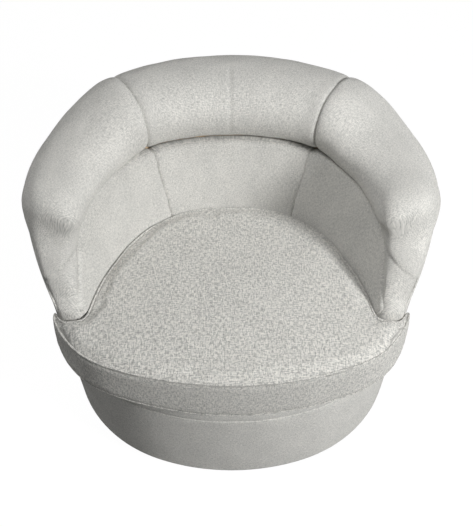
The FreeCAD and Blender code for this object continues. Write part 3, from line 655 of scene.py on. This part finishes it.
class CHAIR_OT_roll(Operator):
    """Makes the fat roll on the rim, which runs down the arm fronts in one soft form"""

    bl_idname = "chair.roll"
    bl_label = "Roll"

    def execute(self, context):
        cloth = materials()["body_fabric"]
        made = context.scene.chair_upholstery
        pieces = {"roll_back_cover": (["roll_back"], 0.0)}
        for side in ("left", "right"):
            pieces["roll_arm_cover_" + side] = (["roll_arm_" + side, "arm_front_pad_" + side], 0.024)
        for name, (nodes, bridge) in pieces.items():
            mesh = soft_form(nodes, name, 0.0, 9, made.ease, bridge)
            co = points_of(mesh)
            vn = normals_of(mesh)
            # cloth over foam is never quite even
            co += vn * (0.0016 * ripple(co, 0.09, 3.0) + 0.0008 * ripple(co, 0.035, 8.0))[:, None]
            if bridge:
                shape_arm(co, vn)
            else:
                pinch_centre(co, vn)
            set_points(mesh, co)
            store_weave(mesh, roll_place(co))
            finish_piece(name, mesh, cloth, SEAT_BODY, nodes)
        return {"FINISHED"}


def shape_arm(co, vn):
    """Fills the arm front out to the welt, and sews the joint where the roll ends on it."""
    side = np.sign(co[:, 0])
    low = np.clip((0.63 - co[:, 2]) / 0.05, 0, 1) * np.clip((0.06 - co[:, 1]) / 0.08, 0, 1)
    outward = np.clip(vn[:, 0] * side * 0.9 - vn[:, 1] * 0.45, 0, 1)
    co[:, 0] += side * ARM_FILL * low * np.clip((outward - 0.35) / 0.4, 0, 1)
    co[:, 1] += ARM_TUCK * np.clip((0.52 - co[:, 2]) / 0.06, 0, 1) * np.clip((-0.17 - co[:, 1]) / 0.04, 0, 1)
    seam = ARM_SEAM_Z + (ARM_SEAM_X - np.abs(co[:, 0])) * ARM_SEAM_RISE
    above = co[:, 2] - seam
    front = np.clip((-0.05 - co[:, 1]) / 0.04, 0, 1)
    line = np.exp(-((above / 0.0026) ** 2))
    bulge = np.tanh(above / 0.012) * np.exp(-((above / 0.05) ** 2))
    co += vn * ((0.0030 * bulge - 0.0034 * line) * front)[:, None]


def pinch_centre(co, vn):
    """The short soft tuck in the middle of the back, on the front face of the roll."""
    front = np.clip((0.320 - co[:, 1]) / 0.03, 0, 1) * np.clip((co[:, 2] - 0.60) / 0.03, 0, 1)
    dent = np.exp(-(((co[:, 0] + 0.004) / 0.0035) ** 2))
    pillow = np.exp(-((co[:, 0] / 0.05) ** 2)) * 0.0022
    co -= vn * ((dent * 0.0035 + pillow) * front)[:, None]


class CHAIR_OT_inside(Operator):
    """Makes the padded panels inside the back and arms"""

    bl_idname = "chair.inside"
    bl_label = "Inside panels"

    def execute(self, context):
        cloth = materials()["body_fabric"]
        made = context.scene.chair_upholstery
        for node in ("inside_back_pad", "inside_arm_pad_left", "inside_arm_pad_right"):
            mesh = soft_form([node], node + "_cover", 0.0, 4, made.ease)
            co = points_of(mesh)
            vn = normals_of(mesh)
            co += vn * (0.0012 * ripple(co, 0.11, 5.0))[:, None]
            set_points(mesh, co)
            store_weave(mesh, wall_place(co))
            finish_piece(node + "_cover", mesh, cloth, SEAT_BODY, node)
        return {"FINISHED"}


def rim_path():
    """The top edge of the outside cover, from one end to the other, as points."""
    mesh = node_mesh("outside_cover")

    def keep(edge, a, b):
        middle = (edge.verts[0].co + edge.verts[1].co) / 2
        out = Vector((middle.x, middle.y, 0)).normalized()
        sides = sorted((a, b), key=lambda n: n.dot(out))
        return middle.z > 0.2 and sides[1].dot(out) > 0.75 and sides[0].dot(out) < 0.5

    points, closed = sharp_chain(mesh, keep)
    bpy.data.meshes.remove(mesh)
    return spaced(points, 0.006, closed), closed


class CHAIR_OT_tub_cover(Operator):
    """Makes the outside cover, with its hem, its front seam and the welt along the rim"""

    bl_idname = "chair.tub_cover"
    bl_label = "Outside cover"

    def execute(self, context):
        cloth = materials()["body_fabric"]
        made = context.scene.chair_upholstery
        source = node_mesh("outside_cover")
        bm = bmesh.new()
        bm.from_mesh(source)
        tree = BVHTree.FromBMesh(bm)
        low_z = min(v.co.z for v in bm.verts)
        bm.free()
        edge, closed = rim_path()
        turn_of_edge = np.arctan2(edge[:, 0], -edge[:, 1])
        order = np.argsort(turn_of_edge)
        turns, tops = turn_of_edge[order], edge[order, 2]
        columns = made.columns
        heights = np.concatenate(
            [np.linspace(0.0, 0.05, 8), np.linspace(0.07, 0.94, 50), np.linspace(0.955, 1.0, 6)]
        )
        rows = []
        for i in range(columns + 1):
            turn = -math.pi + 2 * math.pi * i / columns
            top = float(np.interp(turn, turns, tops, period=2 * math.pi))
            way = Vector((math.sin(turn), -math.cos(turn), 0))
            column = []
            for share in heights:
                z = low_z + (top - low_z) * share
                level_z = min(max(z, low_z + 1e-4), top - 1e-4)
                hit = tree.ray_cast(way * 2.0 + Vector((0, 0, level_z)), -way)
                column.append((way, (2.0 - hit[3]) if hit[0] else None, z))
            good = [c[1] for c in column if c[1] is not None]
            fixed = []
            for way_, r, z in column:
                fixed.append((way_, r if r is not None else (fixed[-1][1] if fixed else good[0]), z))
            rows.append(fixed)
        radius = np.array([[c[1] for c in col] for col in rows])
        level = np.array([[c[2] for c in col] for col in rows])
        turn = np.linspace(-math.pi, math.pi, columns + 1)
        # soft edges: the hem tucks under and the top edge rolls over to the welt
        tuck = np.clip(1 - (level - low_z) / 0.012, 0, 1)
        radius -= 0.004 * (1 - np.sqrt(1 - tuck**2 * 0.98))
        roll = np.clip(1 - (level[:, -1:] - level) / 0.006, 0, 1)
        radius -= 0.004 * (1 - np.sqrt(1 - roll**2 * 0.98))
        xs, ys = radius * np.sin(turn)[:, None], -radius * np.cos(turn)[:, None]
        co = np.stack([xs, ys, level], axis=2).reshape(-1, 3)
        swell = 0.0014 * ripple(co, 0.13, 2.0) + 0.0005 * ripple(co, 0.05, 6.0)
        out_x, out_y = np.repeat(np.sin(turn), len(heights)), -np.repeat(np.cos(turn), len(heights))
        out = np.stack([out_x, out_y, np.zeros(len(co))], axis=1)
        ease = np.clip((co[:, 2] - low_z) / 0.03, 0, 1)
        # a line of stitches just under the seam across the front
        stitch = np.exp(-(((co[:, 2] - SEAM_Z + 0.0085) / 0.0016) ** 2)) * (co[:, 1] < -0.2)
        co += out * (swell * ease - 0.0011 * stitch)[:, None]
        count = len(heights)
        inner = co.reshape(columns + 1, count, 3).copy()
        inner[:, :, :2] *= (1 - 0.006 / np.maximum(radius, 1e-3))[:, :, None]
        verts = np.vstack([co, inner.reshape(-1, 3)])
        faces = []
        shift = (columns + 1) * count
        for i in range(columns):
            j = i + 1
            for k in range(count - 1):
                a, b, c, d = i * count + k, j * count + k, j * count + k + 1, i * count + k + 1
                faces.append((a, b, c, d))
                faces.append((shift + d, shift + c, shift + b, shift + a))
            last_i, last_j = i * count + count - 1, j * count + count - 1
            faces.append((last_i, last_j, shift + last_j, shift + last_i))
            faces.append((j * count, i * count, shift + i * count, shift + j * count))
        mesh = bpy.data.meshes.new("outside_cover_cloth")
        mesh.from_pydata(verts.tolist(), [], faces)
        mesh.update()
        place = np.stack([np.repeat(turn * 0.4, count), level.reshape(-1)], axis=1)
        store_weave(mesh, np.vstack([place, place]))
        finish_piece("outside_cover_cloth", mesh, cloth, SEAT_BODY, "outside_cover")
        # welt along the rim and down the arms
        path = even_path(edge.copy(), 3, closed)
        high = path[:, 2] > SEAM_Z + 0.004
        start = int(np.argmax(~high)) if (~high).any() else 0
        path, high = np.roll(path, -start, 0), np.roll(high, -start)
        path = even_path(path[high], 4, False)
        welt = tube_mesh("rim_welt", path, made.welt / 2, False)
        finish_piece("rim_welt", welt, cloth, SEAT_BODY, None)
        return {"FINISHED"}


class CHAIR_OT_front_roll(Operator):
    """Makes the soft front edge of the deck, under the loose cushion"""

    bl_idname = "chair.front_roll"
    bl_label = "Front edge"

    def execute(self, context):
        made = context.scene.chair_upholstery
        mesh = soft_form(["front_roll"], "front_roll_cover", 0.0, 4, made.ease / 2)
        store_weave(mesh, wall_place(points_of(mesh)))
        cloth = materials()["body_fabric"]
        finish_piece("front_roll_cover", mesh, cloth, SEAT_BODY, "front_roll")
        return {"FINISHED"}


class CHAIR_OT_cushion(Operator):
    """Makes the loose boxed cushion with its welts"""

    bl_idname = "chair.cushion"
    bl_label = "Loose cushion"

    def execute(self, context):
        made = context.scene.chair_upholstery
        cloth = materials()["seat_fabric"]
        source = outer_part(node_mesh("cushion_cover"))

        def top_edge(edge, a, b):
            high, low = (a, b) if a.z > b.z else (b, a)
            return high.z > 0.8 and abs(low.z) < 0.45

        def foot_edge(edge, a, b):
            low, high = (a, b) if a.z < b.z else (b, a)
            return low.z < -0.8 and abs(high.z) < 0.45

        loops = {}
        for name, keep in (("top", top_edge), ("foot", foot_edge)):
            points, closed = sharp_chain(source, keep)
            loops[name] = even_path(spaced(points, 0.006, closed), 6, closed)
        bpy.data.meshes.remove(source)
        mesh = soft_form(["cushion_cover"], "cushion_cloth", made.cushion_swell, 8, 0.003)
        co = points_of(mesh)
        wing = np.clip((np.abs(co[:, 0]) - 0.36) / 0.015, 0, 1) * np.clip((co[:, 1] + 0.29) / 0.05, 0, 1)
        relax(mesh, 12, 0.5, wing)
        co = points_of(mesh)
        # the wings are plump where they lie against the arm fronts
        lap = np.exp(-(((np.abs(co[:, 0]) - 0.345) / 0.04) ** 2) - (((co[:, 1] + 0.255) / 0.035) ** 2))
        crown = np.clip((co[:, 2] - 0.37) / 0.04, 0, 1)
        co[:, 2] += 0.010 * lap * crown
        co[:, 1] += ARM_TUCK * lap * np.clip((co[:, 2] - 0.32) / 0.03, 0, 1)
        set_points(mesh, co)
        vn = normals_of(mesh)
        upward = np.clip(vn[:, 2], 0, 1)
        dip = 0.0025 * np.exp(-(((co[:, 0]) / 0.16) ** 2) - (((co[:, 1] + 0.02) / 0.1) ** 2))
        co -= np.array([0, 0, 1.0]) * (dip * upward)[:, None]
        co += vn * (0.0022 * ripple(co, 0.14, 1.0) + 0.0009 * ripple(co, 0.05, 4.0))[:, None]
        # upright creases in the border where it turns the corner at each wing
        side = np.clip(1 - np.abs(vn[:, 2]) * 1.6, 0, 1)
        turn = np.arctan2(co[:, 0], -(co[:, 1] + 0.1))
        for at, width, depth in ((1.30, 0.012, 0.0022), (1.18, 0.014, 0.0014), (1.42, 0.012, 0.002)):
            for way in (-1, 1):
                crease = np.exp(-(((turn - way * at) / width) ** 2))
                co -= vn * (crease * side * depth)[:, None]
        co = kept_outside(co, "cushion_core", 0.0015)
        set_points(mesh, co)
        store_weave(mesh, cushion_place(mesh, co))
        finish_piece(
            "cushion_cloth", mesh, cloth, CUSHION_BODY, ["cushion_cover", "cushion_core"],
        )
        for name, path in loops.items():
            path = seated(path, mesh, made.welt * 0.12)
            path = even_path(path, 4, True)
            welt = tube_mesh("cushion_welt_" + name, path, made.welt / 2 * 0.85, True)
            finish_piece("cushion_welt_" + name, welt, cloth, CUSHION_BODY, None)
        return {"FINISHED"}


class CHAIR_OT_frame_finish(Operator):
    """Gives the plinth, turntable and the hidden frame their materials"""

    bl_idname = "chair.frame_finish"
    bl_label = "Frame finishes"

    def execute(self, context):
        made = materials()
        for part in frame["record"]["subparts"]:
            obj = frame["nodes"][part["node"]]
            material = made[part["material_slot"]]
            if not obj.material_slots:
                obj.data.materials.append(material)
            for slot in obj.material_slots:
                slot.material = material
        return {"FINISHED"}


def lamp(name, kind, place, aim, energy, size, colour=(1.0, 1.0, 1.0)):
    data = bpy.data.lights.new(name, kind)
    data.energy = energy
    data.color = colour
    if kind == "AREA":
        data.shape = "DISK"
        data.size = size
    obj = bpy.data.objects.new(name, data)
    obj.location = place
    obj.rotation_euler = (Vector(aim) - Vector(place)).to_track_quat("-Z", "Y").to_euler()
    bpy.context.scene.collection.objects.link(obj)
    return obj


class CHAIR_OT_stage(Operator):
    """Makes the pale floor, the studio light and the camera"""

    bl_idname = "chair.stage"
    bl_label = "Studio"

    def execute(self, context):
        scene = context.scene
        m = Nodes("pale_floor")
        m.shader.inputs["Base Color"].default_value = (0.28, 0.28, 0.277, 1)
        m.shader.inputs["Roughness"].default_value = 0.9
        white = m.add("ShaderNodeEmission")
        white.inputs["Strength"].default_value = 1.14
        rays = m.add("ShaderNodeLightPath")
        mix = m.add("ShaderNodeMixShader")
        seen = m.math("MAXIMUM", rays.outputs["Is Camera Ray"], rays.outputs["Is Glossy Ray"])
        m.link(m.math("MULTIPLY", seen, 0.86), mix.inputs["Fac"])
        m.link(m.shader.outputs["BSDF"], mix.inputs[1])
        m.link(white.outputs["Emission"], mix.inputs[2])
        m.link(mix.outputs["Shader"], m.out.inputs["Surface"])
        bm = bmesh.new()
        bmesh.ops.create_circle(bm, cap_ends=True, segments=96, radius=14.0)
        floor_mesh = bpy.data.meshes.new("floor")
        bm.to_mesh(floor_mesh)
        bm.free()
        floor_mesh.materials.append(m.material)
        floor = add_object("floor", floor_mesh)

        world = bpy.data.worlds.new("studio")
        world.use_nodes = True
        tree = world.node_tree
        tree.nodes.clear()
        out = tree.nodes.new("ShaderNodeOutputWorld")
        rays = tree.nodes.new("ShaderNodeLightPath")
        soft = tree.nodes.new("ShaderNodeBackground")
        soft.inputs["Color"].default_value = (1, 1, 1, 1)
        soft.inputs["Strength"].default_value = 0.14
        plain = tree.nodes.new("ShaderNodeBackground")
        plain.inputs["Color"].default_value = (1, 1, 1, 1)
        plain.inputs["Strength"].default_value = 1.0
        mix = tree.nodes.new("ShaderNodeMixShader")
        tree.links.new(rays.outputs["Is Camera Ray"], mix.inputs["Fac"])
        tree.links.new(soft.outputs[0], mix.inputs[1])
        tree.links.new(plain.outputs[0], mix.inputs[2])
        tree.links.new(mix.outputs[0], out.inputs["Surface"])
        scene.world = world

        lamp("key", "AREA", (2.3, -1.9, 2.0), (0.0, 0.0, 0.35), 108.0, 0.8)
        lamp("fill", "AREA", (-2.6, -1.6, 2.6), (0.0, 0.0, 0.35), 2.0, 2.2)
        lamp("top", "AREA", (-0.7, -0.3, 3.1), (0.0, 0.0, 0.4), 30.0, 1.0)

        data = bpy.data.cameras.new("view")
        data.lens = 58.6
        data.sensor_width = 36.0
        data.clip_end = 50.0
        camera = bpy.data.objects.new("view", data)
        place, aim = Vector((0.0125, -1.45, 1.815)), Vector((0.0118, 0.035, 0.33))
        camera.location = place
        camera.rotation_euler = (aim - place).to_track_quat("-Z", "Y").to_euler()
        scene.collection.objects.link(camera)
        scene.camera = camera
        scene.view_settings.view_transform = "Standard"
        return {"FINISHED"}


class CHAIR_PT_panel(Panel):
    """Lists the steps that build the chair"""

    bl_idname = "CHAIR_PT_panel"
    bl_label = "Barrel Chair"
    bl_space_type = "VIEW_3D"
    bl_region_type = "UI"
    bl_category = "Barrel Chair"

    def draw(self, context):
        layout = self.layout
        for group in (context.scene.chair_fabric, context.scene.chair_upholstery):
            box = layout.box()
            for name in group.bl_rna.properties.keys():
                if name not in ("rna_type", "name"):
                    box.prop(group, name)
        for operator in OPERATORS:
            layout.operator(operator.bl_idname)


OPERATORS = (
    CHAIR_OT_frame_finish,
    CHAIR_OT_tub_cover,
    CHAIR_OT_front_roll,
    CHAIR_OT_inside,
    CHAIR_OT_roll,
    CHAIR_OT_cushion,
    CHAIR_OT_stage,
)
CLASSES = (FabricSettings, UpholsterySettings, *OPERATORS, CHAIR_PT_panel)


def register():
    for cls in CLASSES:
        bpy.utils.register_class(cls)
    bpy.types.Scene.chair_fabric = PointerProperty(type=FabricSettings)
    bpy.types.Scene.chair_upholstery = PointerProperty(type=UpholsterySettings)


def unregister():
    del bpy.types.Scene.chair_upholstery
    del bpy.types.Scene.chair_fabric
    for cls in reversed(CLASSES):
        bpy.utils.unregister_class(cls)


def main():
    register()
    bpy.ops.chair.frame_finish()
    bpy.ops.chair.tub_cover()
    bpy.ops.chair.front_roll()
    bpy.ops.chair.inside()
    bpy.ops.chair.roll()
    bpy.ops.chair.cushion()
    bpy.ops.chair.stage()


if __name__ == "__main__":
    main()
